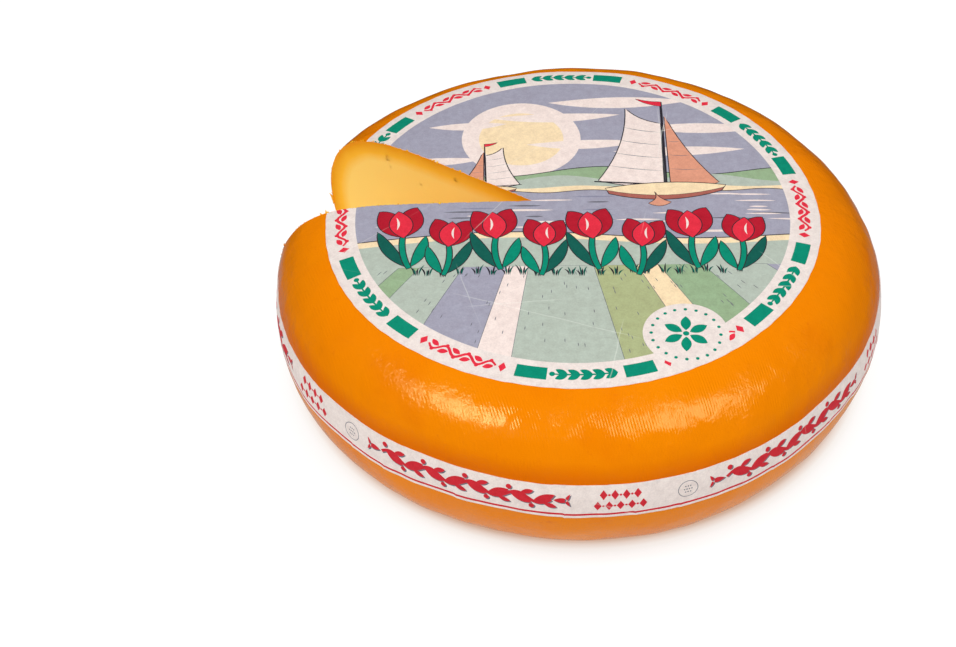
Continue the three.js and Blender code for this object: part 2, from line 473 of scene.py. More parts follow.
class Finish:
    """A material on a Principled shader, with a method for nodes and a few for common patterns."""

    def __init__(self, name, **fixed):
        self.material = bpy.data.materials.new(name)
        self.material.use_nodes = True
        self.tree = self.material.node_tree
        self.shader = next(n for n in self.tree.nodes if n.type == "BSDF_PRINCIPLED")
        for socket, value in fixed.items():
            self.shader.inputs[socket.replace("_", " ")].default_value = value
        self.place = self.node("ShaderNodeTexCoord", output="Object").socket

    def node(self, kind, settings=None, inputs=None, output=0):
        """Adds a node: its settings first, then its inputs as values or links."""
        node = self.tree.nodes.new(kind)
        for key, value in (settings or {}).items():
            if key == "stops":
                self.set_stops(node.color_ramp, value)
            else:
                setattr(node, key, value)
        for key, value in (inputs or {}).items():
            if isinstance(value, (Number, bpy.types.NodeSocket)):
                self.tree.links.new(getattr(value, "socket", value), node.inputs[key])
            else:
                node.inputs[key].default_value = value
        return Number(self, node.outputs[output])

    @staticmethod
    def set_stops(ramp, stops):
        while len(ramp.elements) < len(stops):
            ramp.elements.new(0.5)
        for element, (at, colour) in zip(ramp.elements, stops):
            element.position, element.color = at, (*colour, 1)

    def noise(self, scale, detail=2.0, roughness=0.5, stretch=None, distortion=0.0):
        """Noise over the object's own coordinates, with about scale lumps to the metre."""
        place = self.place
        if stretch:
            place = self.node("ShaderNodeMapping", {}, {"Vector": place, "Scale": stretch})
        return self.node("ShaderNodeTexNoise", {}, {
            "Vector": place, "Scale": scale, "Detail": detail, "Roughness": roughness,
            "Distortion": distortion})

    def attribute(self, name, output="Fac"):
        return self.node("ShaderNodeAttribute", {"attribute_name": name}, output=output)

    def split(self):
        """The three object coordinates as numbers."""
        parts = self.node("ShaderNodeSeparateXYZ", {}, {0: self.place}).socket.node
        return [Number(self, socket) for socket in parts.outputs]

    def mix(self, factor, first, second, blend="MIX"):
        """A colour between two colours by a factor, or one colour laid on the other by a blend."""
        node = self.node("ShaderNodeMix", {"data_type": "RGBA", "blend_type": blend}).socket.node
        for key, value in ((0, factor), (6, first), (7, second)):
            if isinstance(value, (Number, bpy.types.NodeSocket)):
                self.tree.links.new(getattr(value, "socket", value), node.inputs[key])
            else:
                node.inputs[key].default_value = (*value, 1) if key else value
        return node.outputs[2]

    def bump(self, height, distance, strength=1.0, under=None):
        inputs = {"Height": height, "Distance": distance, "Strength": strength}
        if under is not None:
            inputs["Normal"] = under
        return self.node("ShaderNodeBump", {}, inputs)

    def feed(self, **links):
        for name, value in links.items():
            self.tree.links.new(getattr(value, "socket", value), self.shader.inputs[name.replace("_", " ")])
        return self.material


def tone(red, green, blue):
    """A colour as seen on a screen, from 0 to 255, as the linear light that a shader counts in."""
    seen = np.array([red, green, blue]) / 255
    return tuple(np.where(seen <= 0.04045, seen / 12.92, ((seen + 0.055) / 1.055) ** 2.4).tolist())


# %% [markdown]
# ## The coat
# The coat is a thin plastic skin brushed on in layers, deep orange-yellow and glossy. Close up it
# carries fine straight lines under two millimetres apart, faint darker clouds where it is
# thicker, small rubbed specks and shallow dents. The lines all run one way, straight across the
# wheel, as the rollers that spread the coat do. So their pattern is the sine of the distance
# across them, with its strength varied by noise.

# %% Coat finish
COAT = tone(229, 124, 0)
# The deep tone serves the real stains and flecks, and also the painted shade on the side below the shoulder.
COAT_STAIN_AND_SHADE = tone(209, 93, 0)
COAT_PALE = tone(236, 136, 2)
RIB_TURN = math.radians(20)
RIB_STEP = 1.7 * MM


def coat_finish():
    coat = Finish("coat", Roughness=0.22, IOR=1.46, Specular_IOR_Level=0.68, Specular_Tint=(1, 0.9, 0.42, 1))
    x, y, z = coat.split()
    across = x * math.cos(RIB_TURN) + y * math.sin(RIB_TURN)
    ribs = (across * (2 * math.pi / RIB_STEP) + coat.noise(14, 2) * 6).sine()
    rubbed = coat.noise(24, 3, 0.6).share(0.4, 0.62)
    broken = 0.12 + 0.9 * coat.noise(160, 2, 0.6).share(0.36, 0.66)
    clouds = coat.noise(9, 4, 0.6).share(0.34, 0.7)
    flecks = coat.noise(150, 2, 0.7).share(0.66, 0.78)
    stain = coat.noise(15, 3, 0.55, stretch=(1, 1, 1.8)).share(0.54, 0.8)
    colour = coat.mix(clouds * 0.5, COAT, COAT_PALE)
    colour = coat.mix(stain * 0.45, colour, COAT_STAIN_AND_SHADE)
    colour = coat.mix(flecks * 0.3, colour, COAT_STAIN_AND_SHADE)
    # Painted shade: from 60 mm up to the wandering edge of the shoulder, the coat is darkened towards the
    # deep tone, for the side turning away from the lamps overhead.
    shoulder = (z + (coat.noise(7, 3) - 0.5) * 12 * MM).share(88 * MM, 99 * MM)
    flank_painted_shade = z.share(60 * MM, 72 * MM) - shoulder
    colour = coat.mix(flank_painted_shade.math("MAXIMUM", flank_painted_shade, 0) * 0.7, colour, COAT_STAIN_AND_SHADE)
    rough = 0.12 + 0.06 * rubbed + 0.1 * flecks
    height = ribs * (1.1 - rubbed) * broken + coat.noise(60, 3, 0.55) * 4
    height = height + coat.noise(430, 4, 0.6) * (1.2 + 4.5 * rubbed) + coat.noise(170, 3, 0.6) * rubbed * 12
    return coat.feed(Base_Color=colour, Roughness=rough, Normal=coat.bump(height, 0.05 * MM, 1.0))


# %% [markdown]
# ## The paste
# Cut young gouda is smooth, matt and pale yellow. It darkens to orange-yellow over the last
# centimetre to the coat, and the coat itself shows as a thin line at the rim. The wheel's points
# carry their distance to the coat, so the colour follows the rind round both cut faces. Inside the
# eyes that orange is a painted glow. Light enters the cheese a little, which the shader's
# subsurface share gives.

# %% Paste finish
PASTE = tone(249, 208, 108)
PASTE_RIM = tone(232, 156, 0)
PASTE_EDGE = tone(226, 136, 0)
PASTE_STOPS = [(0.0, PASTE_RIM), (0.45, tone(245, 181, 42)), (1.0, PASTE)]


def paste_finish():
    paste = Finish("paste", IOR=1.42, Specular_IOR_Level=0.16, Specular_Tint=(1, 0.88, 0.5, 1),
                   Subsurface_Weight=0.12, Subsurface_Radius=(1.0, 0.5, 0.15), Subsurface_Scale=4 * MM)
    # The attribute holds the depth under the coat, and inside the eyes a painted glow of the rind's orange.
    depth = paste.attribute("rind_depth") + (paste.noise(60, 3) - 0.5) * 3.0
    colour = paste.node("ShaderNodeValToRGB", {"stops": PASTE_STOPS}, {0: depth.share(2.0, 15.0)}).socket
    colour = paste.mix(1 - depth.share(-0.6, 1.9), colour, PASTE_EDGE)
    drift = paste.noise(30, 3, 0.6).share(0.35, 0.7)
    colour = paste.mix(drift * 0.12, colour, tone(250, 200, 84))
    smear = paste.noise(55, 4, 0.6, stretch=(1, 1, 0.25))
    curd = paste.noise(700, 2, 0.6)
    rough = 0.44 + 0.16 * smear
    height = smear * 1.0 + curd * 0.35
    return paste.feed(Base_Color=colour, Roughness=rough, Normal=paste.bump(height, 0.12 * MM, 0.7))


cheese.data.materials.clear()
cheese.data.materials.append(coat_finish())
cheese.data.materials.append(paste_finish())
cheese.data.polygons.foreach_set("material_index", paste.astype(np.int32))
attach(cheese, "root")
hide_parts("cheese_wheel")
print("coat and paste done")

# %% [markdown]
# ## Drawing on paper
# A print is flat fields of ink that meet in sharp edges. A texture made of pixels would blur, so
# the print is part of the mesh: every outline is worked out as points on the flat paper, all
# outlines are cut into one triangulation at once, and each triangle takes the ink of the topmost
# outline that holds it. The flat sheet is then laid on the wheel. Outlines are in millimetres.

# %% Lines and outlines
def bow(start, end, bulge, count=10):
    """Points from start towards end, without the end, pushed sideways by a parabola of this height
    to the left of the way."""
    start, end = np.asarray(start, float), np.asarray(end, float)
    share = np.linspace(0, 1, count, endpoint=False)[:, None]
    way = end - start
    left = np.array([-way[1], way[0]]) / max(np.hypot(*way), 1e-9)
    return start + share * way + 4 * bulge * share * (1 - share) * left


def shape(*corners, count=10):
    """A closed outline from corners as x, y and the bulge of the side that leaves each."""
    ends = corners[1:] + corners[:1]
    sides = [bow(a[:2], b[:2], a[2], count if a[2] else 1) for a, b in zip(corners, ends)]
    return np.concatenate(sides)


def disc(radius, centre=(0, 0), count=64):
    turn = np.linspace(0, 2 * math.pi, count, endpoint=False)
    return np.stack([np.cos(turn), np.sin(turn)], -1) * radius + centre


def moved(outline, at=(0, 0), turn=0.0, size=1.0, flip=False):
    """An outline mirrored, sized, turned by degrees and set down at a place."""
    c, s = math.cos(math.radians(turn)), math.sin(math.radians(turn))
    outline = outline * [-size if flip else size, size]
    return outline @ np.array([[c, s], [-s, c]]) + at


def bold(outline, by):
    """The outline pushed out by a width: each point moves along the mean of its sides' normals,
    and the sign of the area tells which way is out."""
    x, y = outline.T
    area = np.sum(x * np.roll(y, -1) - y * np.roll(x, -1))
    way = np.roll(outline, -1, 0) - np.roll(outline, 1, 0)
    way /= np.maximum(np.hypot(*way.T), 1e-9)[:, None]
    return outline + by * math.copysign(1, area) * np.column_stack([way[:, 1], -way[:, 0]])


def brush(path, width, taper=1.0):
    """A stroke along a path: its two sides lie half a width off, thinner to the ends by a sine."""
    way = np.gradient(path, axis=0)
    way /= np.maximum(np.hypot(*way.T), 1e-9)[:, None]
    swell_of = 1 - taper + taper * np.sin(np.linspace(0.08, math.pi - 0.08, len(path)))
    off = np.column_stack([-way[:, 1], way[:, 0]]) * (width / 2 * swell_of)[:, None]
    return np.concatenate([path + off, (path - off)[::-1]])


def curl(start, end, bulge, width, taper=1.0, count=14):
    return brush(np.concatenate([bow(start, end, bulge, count), [end]]), width, taper)


# %% Cut a print and lay it on the wheel
def holds(outline, spots):
    """Which spots lie inside an outline: a level ray to the right crosses its sides an odd number
    of times. Only spots inside the outline's box are tried."""
    low, high = outline.min(0), outline.max(0)
    near = np.flatnonzero(((spots > low) & (spots < high)).all(1))
    x, y = spots[near].T[..., None]
    x0, y0 = outline.T
    x1, y1 = np.roll(outline, -1, 0).T
    straddles = (y0 > y) != (y1 > y)
    crossing = x0 + (y - y0) * (x1 - x0) / np.where(y1 == y0, 1, y1 - y0)
    found = np.zeros(len(spots), bool)
    found[near] = (straddles & (x < crossing)).sum(1) % 2 > 0
    return found


def stepped(outline, step=4.0):
    """The outline with its long sides split into equal steps, so that they can bend with the coat."""
    way = np.roll(outline, -1, 0) - outline
    parts = np.maximum(1, np.ceil(np.hypot(*way.T) / step)).astype(int)
    side = np.repeat(np.arange(len(outline)), parts)
    share = (np.arange(parts.sum()) - np.repeat(np.cumsum(parts) - parts, parts)) / parts[side]
    return outline[side] + way[side] * share[:, None]


def cut_print(shapes, lattice):
    """Cuts the plane along all outlines and through the loose lattice points. Each shape is an
    outline, an ink and the number of the shape that frames it. The first is the paper itself, and
    what lies outside it is dropped. Returns the corners, triangles and the ink of each triangle."""
    shapes = [(stepped(outline), fill, frame_of) for outline, fill, frame_of in shapes]
    sizes = np.array([len(outline) for outline, _, _ in shapes])
    starts = np.repeat(np.cumsum(sizes) - sizes, sizes)
    places = np.arange(sizes.sum())
    follower = starts + (places - starts + 1) % np.repeat(sizes, sizes)
    points = np.concatenate([outline for outline, _, _ in shapes] + [lattice])
    sides = np.stack([places, follower], -1)
    corners, _, triangles, *_ = geometry.delaunay_2d_cdt(points.tolist(), sides.tolist(), [], 0, 1e-3)
    corners, triangles = np.array([tuple(corner) for corner in corners]), np.array(triangles)
    spots = corners[triangles].mean(1)
    frames = {0: holds(shapes[0][0], spots)}
    inks = np.tile(INKS[shapes[0][1]], (len(spots), 1))
    for number, (outline, fill, frame_of) in enumerate(shapes):
        if frame_of not in frames:
            frames[frame_of] = holds(shapes[frame_of][0], spots)
        inks[holds(outline, spots) & frames[frame_of]] = INKS[fill]
    kept = triangles[frames[0]]
    used, renumbered = np.unique(kept, return_inverse=True)
    return corners[used], renumbered.reshape(kept.shape), inks[frames[0]]


def lay_paper(name, corners, triangles, inks, lay, thickness):
    """Makes a closed sheet: the print on top, a bare back and a rim. lay gives the place and the
    outward way of flat points at a height off the coat."""
    count = len(corners)
    top, away = lay(corners, thickness)
    under, _ = lay(corners, -0.05 * MM)
    pairs = np.sort(np.concatenate([triangles[:, [0, 1]], triangles[:, [1, 2]], triangles[:, [2, 0]]]), 1)
    ways = np.concatenate([triangles[:, [0, 1]], triangles[:, [1, 2]], triangles[:, [2, 0]]])
    _, first, times = np.unique(pairs, axis=0, return_index=True, return_counts=True)
    rim = ways[first[times == 1]]
    walls = np.column_stack([rim[:, 1], rim[:, 0], rim[:, 0] + count, rim[:, 1] + count])
    piece = make_piece(name, np.concatenate([top, under]),
                       [*triangles, *(triangles[:, ::-1] + count), *walls])
    mesh = piece.data
    bare = np.array(INKS["paper"])
    unprinted = np.tile(bare, (3 * len(triangles) + 4 * len(walls), 1))
    shades = np.concatenate([np.repeat(inks, 3, 0), unprinted])
    layer = mesh.attributes.new("ink", "FLOAT_COLOR", "CORNER")
    opaque = np.column_stack([shades, np.ones(len(shades))])
    layer.data.foreach_set("color", opaque.ravel().astype(np.float32))
    printed = np.arange(len(shades)) < 3 * len(triangles)
    sides = array_of(mesh.polygons, "loop_total", 1).astype(int)
    normals = np.repeat(array_of(mesh.polygons, "normal", 3), sides, 0)
    corner_of = array_of(mesh.loops, "vertex_index", 1).astype(int)
    normals[printed] = away[corner_of[printed]]
    mesh.normals_split_custom_set(normals.tolist())
    return piece


INKS = {name: tone(*value) for name, value in {
    "paper": (239, 227, 220), "mist": (246, 229, 221), "lavender": (166, 165, 181),
    "dusk": (143, 143, 164), "sage": (184, 195, 182), "fern": (154, 180, 142),
    "olive": (176, 184, 136), "cream": (251, 226, 184), "salmon": (226, 158, 130),
    "brick": (176, 104, 92), "green": (6, 142, 114), "pine": (20, 96, 84),
    "red": (232, 50, 70), "crimson": (184, 28, 48), "cherry": (210, 42, 54),
    "ink": (48, 44, 52), "grey": (112, 112, 122),
}.items()}
print(len(INKS), "inks")

# %% [markdown]
# ## The top label
# A round sheet covers the middle of the wheel: a picture in flat litho colours, and round it a
# pale border with green bars. The picture is a made-up one of a lake with two sailing boats under
# a low sun, and a row of red tulips in front. Sprigs and garlands fill the border's gaps.

# %% Label layout
LABEL_R = 153.0
LABEL_AT = np.array([-3.8, 4.9])
PICTURE_R = 134.3
LABEL_TURN = 2.5
# The label is the same paper as the band. This share darkens all of its inks, a painted shade over the whole
# top.
LABEL_PAINTED_SHADE = 0.905


def cut_ends(reach, centre=(0, 0)):
    """The bearings, seen from a centre, at which the near and the far cut cross a circle round it,
    in millimetres. The second is past the first."""
    tip = APEX / MM - centre
    ends = []
    for bearing in (NEAR_CUT, FAR_CUT):
        way = np.array([math.cos(bearing), math.sin(bearing)])
        along = -tip @ way + math.sqrt((tip @ way) ** 2 - tip @ tip + reach ** 2)
        ends.append(math.atan2(*(tip + along * way)[::-1]) % (2 * math.pi))
    return ends[0], ends[1] + 2 * math.pi


def ragged(start, end, seed):
    """Points from start to end, without the end, that stray to the left of the way by up to half a
    millimetre, as paper tears a little under a knife."""
    count = int(np.hypot(*(end - start)) / 1.6)
    share = np.linspace(0, 1, count, endpoint=False)[:, None]
    way = (end - start) / np.hypot(*(end - start))
    bite = 0.55 * np.random.default_rng(seed).uniform(0, 1, count) ** 3
    bite[0] = 0
    return start + share * (end - start) + bite[:, None] * np.array([-way[1], way[0]])


def label_outline(reach):
    """The label's own outline: its circle from the near cut round to the far one, and the cuts."""
    tip = APEX / MM - LABEL_AT
    turn = np.linspace(*cut_ends(reach, LABEL_AT), 520)
    waver = 1 + 0.0011 * np.sin(turn * 61) * np.sin(turn * 17 + 1)
    rim = np.stack([np.cos(turn), np.sin(turn)], -1) * (reach * waver)[:, None]
    return np.concatenate([rim[:-1], ragged(rim[-1], tip, 31), ragged(tip, rim[0], 32)])


def on_ring(outline, bearing, radius):
    """Bends an outline round the label: its x runs along the circle, its y outwards."""
    turn = math.radians(bearing) - outline[:, 0] / radius
    return np.stack([np.cos(turn), np.sin(turn)], -1) * (radius + outline[:, 1])[:, None]


def ring_bar(bearing, width, inner=138.8, outer=147.8):
    half = math.radians(width / 2) * LABEL_R
    side = np.linspace(-half, half, 8)
    low = np.column_stack([side, np.full(8, inner - LABEL_R)])
    high = np.column_stack([side, np.full(8, outer - LABEL_R)])[::-1]
    return on_ring(np.concatenate([low, high]), bearing, LABEL_R)


# %% Tulips and sprigs
def tulip(at, turn=0.0, size=1.0, flip=False):
    """One bold tulip: two leaves and a stem, side petals behind, and a round middle petal."""
    stem = curl((0, -24), (0, 0), 1.6, 2.6, 0.2)
    long_leaf = shape((-1, -23, 4.5), (-12, 5, 1.5))
    short_leaf = shape((1, -23, -4), (11, -2, -1.5))
    back = shape((0, -1, 6.2), (-9.2, 20, 2.2), (0, 12, 2.2), (9.2, 20, 6.2))
    middle = shape((0, -1.5, 5.6), (0, 18.5, 5.6))
    glint = curl((-2.4, 5), (-1.6, 14), -0.9, 1.2)
    parts = [(long_leaf, "pine", "ink"), (short_leaf, "green", "ink"), (stem, "green", "ink"),
             (back, "crimson", "ink"), (middle, "red", "ink"), (glint, "mist", None)]
    shapes = []
    for outline, fill, edge in parts:
        placed = moved(outline, at, turn, size, flip)
        if edge:
            shapes.append((bold(placed, 0.65), edge))
        shapes.append((placed, fill))
    return shapes


def garland(bearing, radius, fill="red"):
    """A running garland along the border: a bold wavy stem with a plump leaf and a berry in each
    hollow, and a diamond at both ends."""
    x = np.linspace(-22, 22, 90)
    wave = np.column_stack([x, 2.4 * np.sin(x / 44 * 2 * math.pi * 3)])
    shapes = [brush(wave, 1.9, 0.3)]
    for one in range(6):
        side = (-1) ** one
        leaf = shape((0, 0, -1.9), (6.2, 2.6, -1.5)) * [1, side]
        shapes.append(leaf + [-21 + 7.33 * one, 0.6 * side])
        shapes.append(disc(1.25, (-18.4 + 7.33 * one, -3.0 * side), 14))
    for end in (-26, 26):
        shapes.append(shape((end - 2.4, 0, 0), (end, -3.6, 0), (end + 2.4, 0, 0), (end, 3.6, 0)))
    return [(on_ring(outline, bearing, radius), fill) for outline in shapes]


def sprig(bearing, radius, pairs=5, fill="green"):
    """A straight twig along the border with pairs of plump leaves and a bud at its end."""
    length = 7.4 * pairs
    shapes = [curl((-length / 2, 0), (length / 2, 0), 0, 1.2, 0.2), disc(1.7, (length / 2 + 1, 0), 16)]
    for one in range(pairs):
        for side in (-1, 1):
            leaf = shape((0, 0, -1.9), (7.4, 3.5, -1.9)) * [1, side]
            shapes.append(leaf + [-length / 2 + 7.2 * one, 0])
    return [(on_ring(outline, bearing, radius), fill) for outline in shapes]


def border():
    """Six times round: a sprig between two green bars, then a red garland."""
    shapes = []
    for sixth in range(6):
        middle = 31.5 + 60 * sixth
        for side in (-1, 1):
            shapes.append((ring_bar(middle + 12.7 * side, 7.4), "green"))
        shapes += sprig(middle, 143.2)
        shapes += garland(middle + 30, 143.2)
    return shapes


# %% The picture
def wave_line(low, high, y, rise, waves, phase, count=90):
    """A level line that rises and falls as a sine."""
    x = np.linspace(low, high, count)
    return np.column_stack([x, y + rise * np.sin(x / (high - low) * 2 * math.pi * waves + phase)])


def strip(upper, lower):
    return np.concatenate([upper, lower[::-1]])


def boat(at, size, flip=False):
    """A flat-bottomed boat: hull with a sheer line, mast, gaff sail, foresail and pennant."""
    hull = shape((-34, 4, -7), (36, 6, 0), (39, 11, -4), (-36, 9, 0))
    stripe = shape((-35.5, 7.4, -6.2), (37.5, 9, 0), (39, 11, -4), (-36, 9, 0))
    board = shape((-6, 6, 3), (-10, -6, -3), (4, -5, 2))
    mast = curl((2, 6), (3, 98), 0, 1.8, 0.1)
    main = shape((0.5, 13, 0), (1.5, 74, 3), (-20, 90, 5), (-40, 17, -3))
    fore = shape((5, 15, -4), (35, 14, 3), (4.6, 82, 0))
    boom = curl((2, 12), (-43, 16), 0, 1.4, 0.2)
    pennant = shape((3, 98, 1), (-13, 101, -1.5), (3, 93, 0))
    parts = [(fore, "salmon", 0.6), (main, "mist", 0.7), (boom, "ink", 0), (mast, "ink", 0),
             (pennant, "red", 0.4), (hull, "brick", 0.7), (stripe, "cream", 0.35), (board, "salmon", 0.5)]
    seams = [curl((0.8, y), (-22 - (70 - y) * 0.27, y + 6), 1.0, 0.5) for y in (26, 39, 52, 65)]
    seams += [curl((5.2, y), (31 - (y - 15) * 0.43, y - 0.5), -0.8, 0.45) for y in (28, 42, 56)]
    shapes = []
    for outline, fill, edge in parts:
        placed = moved(outline, at, 0, size, flip)
        if edge:
            shapes.append((bold(placed, edge), "ink"))
        shapes.append((placed, fill))
    return shapes + [(moved(seam, at, 0, size, flip), "grey") for seam in seams]


def picture():
    """From back to front: sky with haze and sun, dunes, lake, boats, bank, fields and tulips."""
    draw = np.random.default_rng(4)
    shapes = [(disc(38, (-30, 74)), "mist"), (disc(27, (-30, 74)), "cream")]
    for x, y, length, high in ((-84, 52, 60, 5), (34, 112, 92, 8), (86, 84, 80, 7), (-8, 96, 84, 6),
                               (70, 60, 84, 6), (-64, 88, 50, 5), (10, 68, 74, 6)):
        shapes.append((shape((x - length / 2, y, -high), (x + length / 2, y + 2, -high / 2)), "mist"))
    far = wave_line(-140, 140, 40, 4.5, 2.2, 0.6)
    shapes.append((strip(far + [0, 0.7], wave_line(-140, 140, 0, 1, 1, 0)), "ink"))
    shapes.append((strip(far, wave_line(-140, 140, 0, 1, 1, 0)), "fern"))
    shapes.append((strip(wave_line(-140, 140, 33, 3.5, 3.1, 2.0), wave_line(-140, 140, 0, 1, 1, 0)), "sage"))
    shapes.append((strip(wave_line(-140, 140, 25, 1.2, 4, 1.0), wave_line(-140, 140, 0, 1, 1, 0)), "cream"))
    shore = wave_line(-140, 140, 21, 1.2, 5, 0.2)
    shapes.append((strip(shore, wave_line(-140, 140, -60, 0, 1, 0)), "ink"))
    shapes.append((strip(shore - [0, 0.6], wave_line(-140, 140, -60, 0, 1, 0)), "lavender"))
    for _ in range(46):
        x, y = draw.uniform(-124, 124), draw.uniform(-22, 17)
        length = draw.uniform(9, 30)
        fill = ("mist", "dusk", "mist", "grey")[draw.integers(4)]
        shapes.append((shape((x, y, 0.7), (x + length, y, 0.7)), fill))
    shapes += boat((58, 14), 1.0) + boat((-52, 20), 0.5, True)
    near = wave_line(-140, 140, -22, 4, 1.2, 2.6)
    shapes.append((strip(near + [0, 0.8], wave_line(-140, 140, -140, 0, 1, 0)), "ink"))
    shapes.append((strip(near, wave_line(-140, 140, -140, 0, 1, 0)), "cream"))
    shapes.append((strip(near - [0, 5], wave_line(-140, 140, -140, 0, 1, 0)), "sage"))
    rows = [("olive", 2), ("cream", 1), ("sage", 3), ("fern", 1), ("sage", 2), ("lavender", 2), ("mist", 1),
            ("sage", 3), ("olive", 2), ("cream", 1), ("fern", 2), ("sage", 3), ("lavender", 2), ("olive", 2)]
    vanish, floor_y, x = np.array([-10, 70]), -150, -330.0
    for fill, width in rows:
        wide = 24.0 * width
        top = [vanish + (np.array([edge, floor_y]) - vanish) * 0.545 for edge in (x, x + wide)]
        field = shape((*top[0], 0), (x, floor_y, 0), (x + wide, floor_y, 0), (*top[1], 0))
        shapes += [(bold(field, 0.35), "grey"), (field, fill)]
        x += wide
    for _ in range(120):
        x, y = draw.uniform(-120, 120), draw.uniform(-128, -52)
        lean = (x - vanish[0]) / (y - vanish[1])
        shapes.append((curl((x, y), (x + 3.4 * lean, y + 3.4), 0, 0.5), "grey"))
    for one in range(22):
        x, y = -96 + 9.3 * one + draw.uniform(-2, 2), -58 + draw.uniform(-1.5, 1.5)
        for blade in range(4):
            tip = x + 2.6 * (blade - 1.5) + draw.uniform(-1, 1), y + draw.uniform(5, 10)
            leaf = curl((x + blade - 1.5, y), tip, 0.6 * (blade - 1.5), 1.1)
            shapes.append((leaf, ("ink", "pine")[blade % 2]))
    spots = [(-104, -6, 8), (-76, -15, -6), (-47, -8, 5), (-18, -16, -4), (12, -9, 6), (42, -17, -7),
             (73, -9, 4), (103, -14, -8)]
    for one, (x, y, turn) in enumerate(spots):
        shapes += tulip((x, y - 14), turn, 1.16 if one % 2 else 1.26, bool(one % 2))
    return shapes


# %% Badge and label
def badge():
    """A pale round badge with a ring of dots round a flower of six petals."""
    centre = np.array([68.3, -108.0])
    shapes = [(disc(25.5, centre), "paper")]
    for one in range(20):
        turn = math.radians(18 * one)
        shapes.append((disc(1.1, centre + 20.5 * np.array([math.cos(turn), math.sin(turn)]), 10), "green"))
    petal = shape((0, 2.6, -3.1), (0, 14.5, -3.1))
    for turn in range(0, 360, 60):
        shapes.append((moved(petal, centre, turn), "green"))
    return shapes + [(disc(1.9, centre, 16), "green")]


def label_lay(flat, height):
    """Lays flat label points, in millimetres, over the crown, and swells them with the wheel. The
    outward way is upright, leaning by the crown's slope."""
    plan = (flat + LABEL_AT) * MM
    radius = np.hypot(*plan.T)
    z = crown_height(radius)
    lean = (crown_height(radius + 0.1 * MM) - crown_height(radius - 0.1 * MM)) / (0.2 * MM)
    way = np.column_stack([-plan * (lean / np.maximum(radius, MM))[:, None], np.ones(len(plan))])
    way /= np.linalg.norm(way, axis=1)[:, None]
    points = np.column_stack([plan, z])
    return swelled(points + way * (relief(points) + height)[:, None]), way


def label():
    turned = [(moved(outline, turn=LABEL_TURN), ink) for outline, ink in border()]
    shapes = [(label_outline(LABEL_R), "paper", 0), (disc(PICTURE_R, count=240), "lavender", 0)]
    shapes += [(moved(outline, turn=LABEL_TURN), ink, 1) for outline, ink in picture()]
    shapes += [(outline, ink, 0) for outline, ink in turned + badge()]
    steps = np.arange(-156, 157, 6.0)
    lattice = np.stack(np.meshgrid(steps, steps), -1).reshape(-1, 2)
    lattice[:, 0] += np.where(np.arange(len(lattice)) // len(steps) % 2, 3.0, 0.0)
    lattice = lattice[np.hypot(*lattice.T) < LABEL_R - 1]
    corners, triangles, inks = cut_print(shapes, lattice)
    print("label:", len(shapes), "shapes,", len(triangles), "triangles")
    # The label's inks are darkened by the painted shade.
    return lay_paper("label", corners, triangles, inks * LABEL_PAINTED_SHADE, label_lay, 0.25 * MM)


label_piece = label()


# %% Paper finish
# Turn and lean of the flat sheet that each crease lies in, and its distance from the axis
CREASES = [(0.3, 0.1, -70), (1.25, 0.2, -64), (2.0, -0.15, 38), (0.75, 0.3, 96), (2.6, 0.1, 60),
           (1.7, -0.3, -108), (3.0, 0.4, 12), (0.05, 0.5, 110), (2.3, 0.6, 128), (1.45, 0.5, -130)]


def paper_finish(name):
    """Mottled paper: the ink, darkened in soft clouds a few millimetres across and by a finer
    grain, and lifted along a few thin creases that show only here and there."""
    paper = Finish(name, Roughness=0.75, Specular_IOR_Level=0.1)
    ink = paper.attribute("ink", "Color").socket
    cloud = paper.noise(210, 4, 0.6).share(0.32, 0.68)
    grain = paper.noise(1000, 2, 0.6).share(0.34, 0.66)
    colour = paper.mix(cloud * 0.9, ink, (0.865, 0.84, 0.84), "MULTIPLY")
    colour = paper.mix(grain * 0.8, colour, (0.87, 0.87, 0.88), "MULTIPLY")
    x, y, z = paper.split()
    waver = (paper.noise(40, 2) - 0.5) * 2.2 * MM
    crease = 0.0
    for turn, lean, off in CREASES:
        way = math.cos(turn) * math.cos(lean), math.sin(turn) * math.cos(lean), math.sin(lean)
        away = x * way[0] + y * way[1] + z * way[2] + waver - off * MM
        crease = (1 - away.math("ABSOLUTE", away).share(0.0, 0.45 * MM)) + crease
    crease = crease * paper.noise(14, 2).share(0.5, 0.62)
    colour = paper.mix(crease * 0.3, colour, tone(236, 238, 230))
    height = cloud * 0.4 + grain * 0.35 + crease * 0.5
    return paper.feed(Base_Color=colour, Roughness=0.68 + 0.14 * cloud,
                      Normal=paper.bump(height, 0.08 * MM, 0.7))


label_piece.data.materials.append(paper_finish("label_paper"))
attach(label_piece, "root")
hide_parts("top_label")
print("label laid")

# %% [markdown]
# ## The side band
# A strip of the same paper runs round the widest part of the wheel. It is drawn flat, with its
# length along x and its height along y, and wrapped round the side. Again and again it carries a
# small lattice, a ring mark and a long garland, and a thin red line follows its foot. The wheel
# narrows towards its foot, so the paper's lower edge is too long and lies in small pleats.

# %% Band layout
BAND_LOW, BAND_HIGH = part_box("side_band")[0].z / MM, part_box("side_band")[1].z / MM
BAND_TALL = BAND_HIGH - BAND_LOW
BAND_START, BAND_END = cut_ends(WHEEL_R / MM)
BAND_LONG = (BAND_END - BAND_START) * WHEEL_R / MM
BAND_STEP = math.radians(64.1) * WHEEL_R / MM
GARLAND_LONG = 108.0


def band_place(bearing):
    """Length along the band at a bearing in degrees."""
    return (math.radians(bearing) - BAND_START) * WHEEL_R / MM


def pleats():
    """Places of the small pleats along the band's foot, unevenly spaced, in millimetres."""
    gaps = np.random.default_rng(21).uniform(22, 66, 60)
    places = np.cumsum(gaps)
    return places[places < BAND_LONG - 10]


PLEATS = pleats()


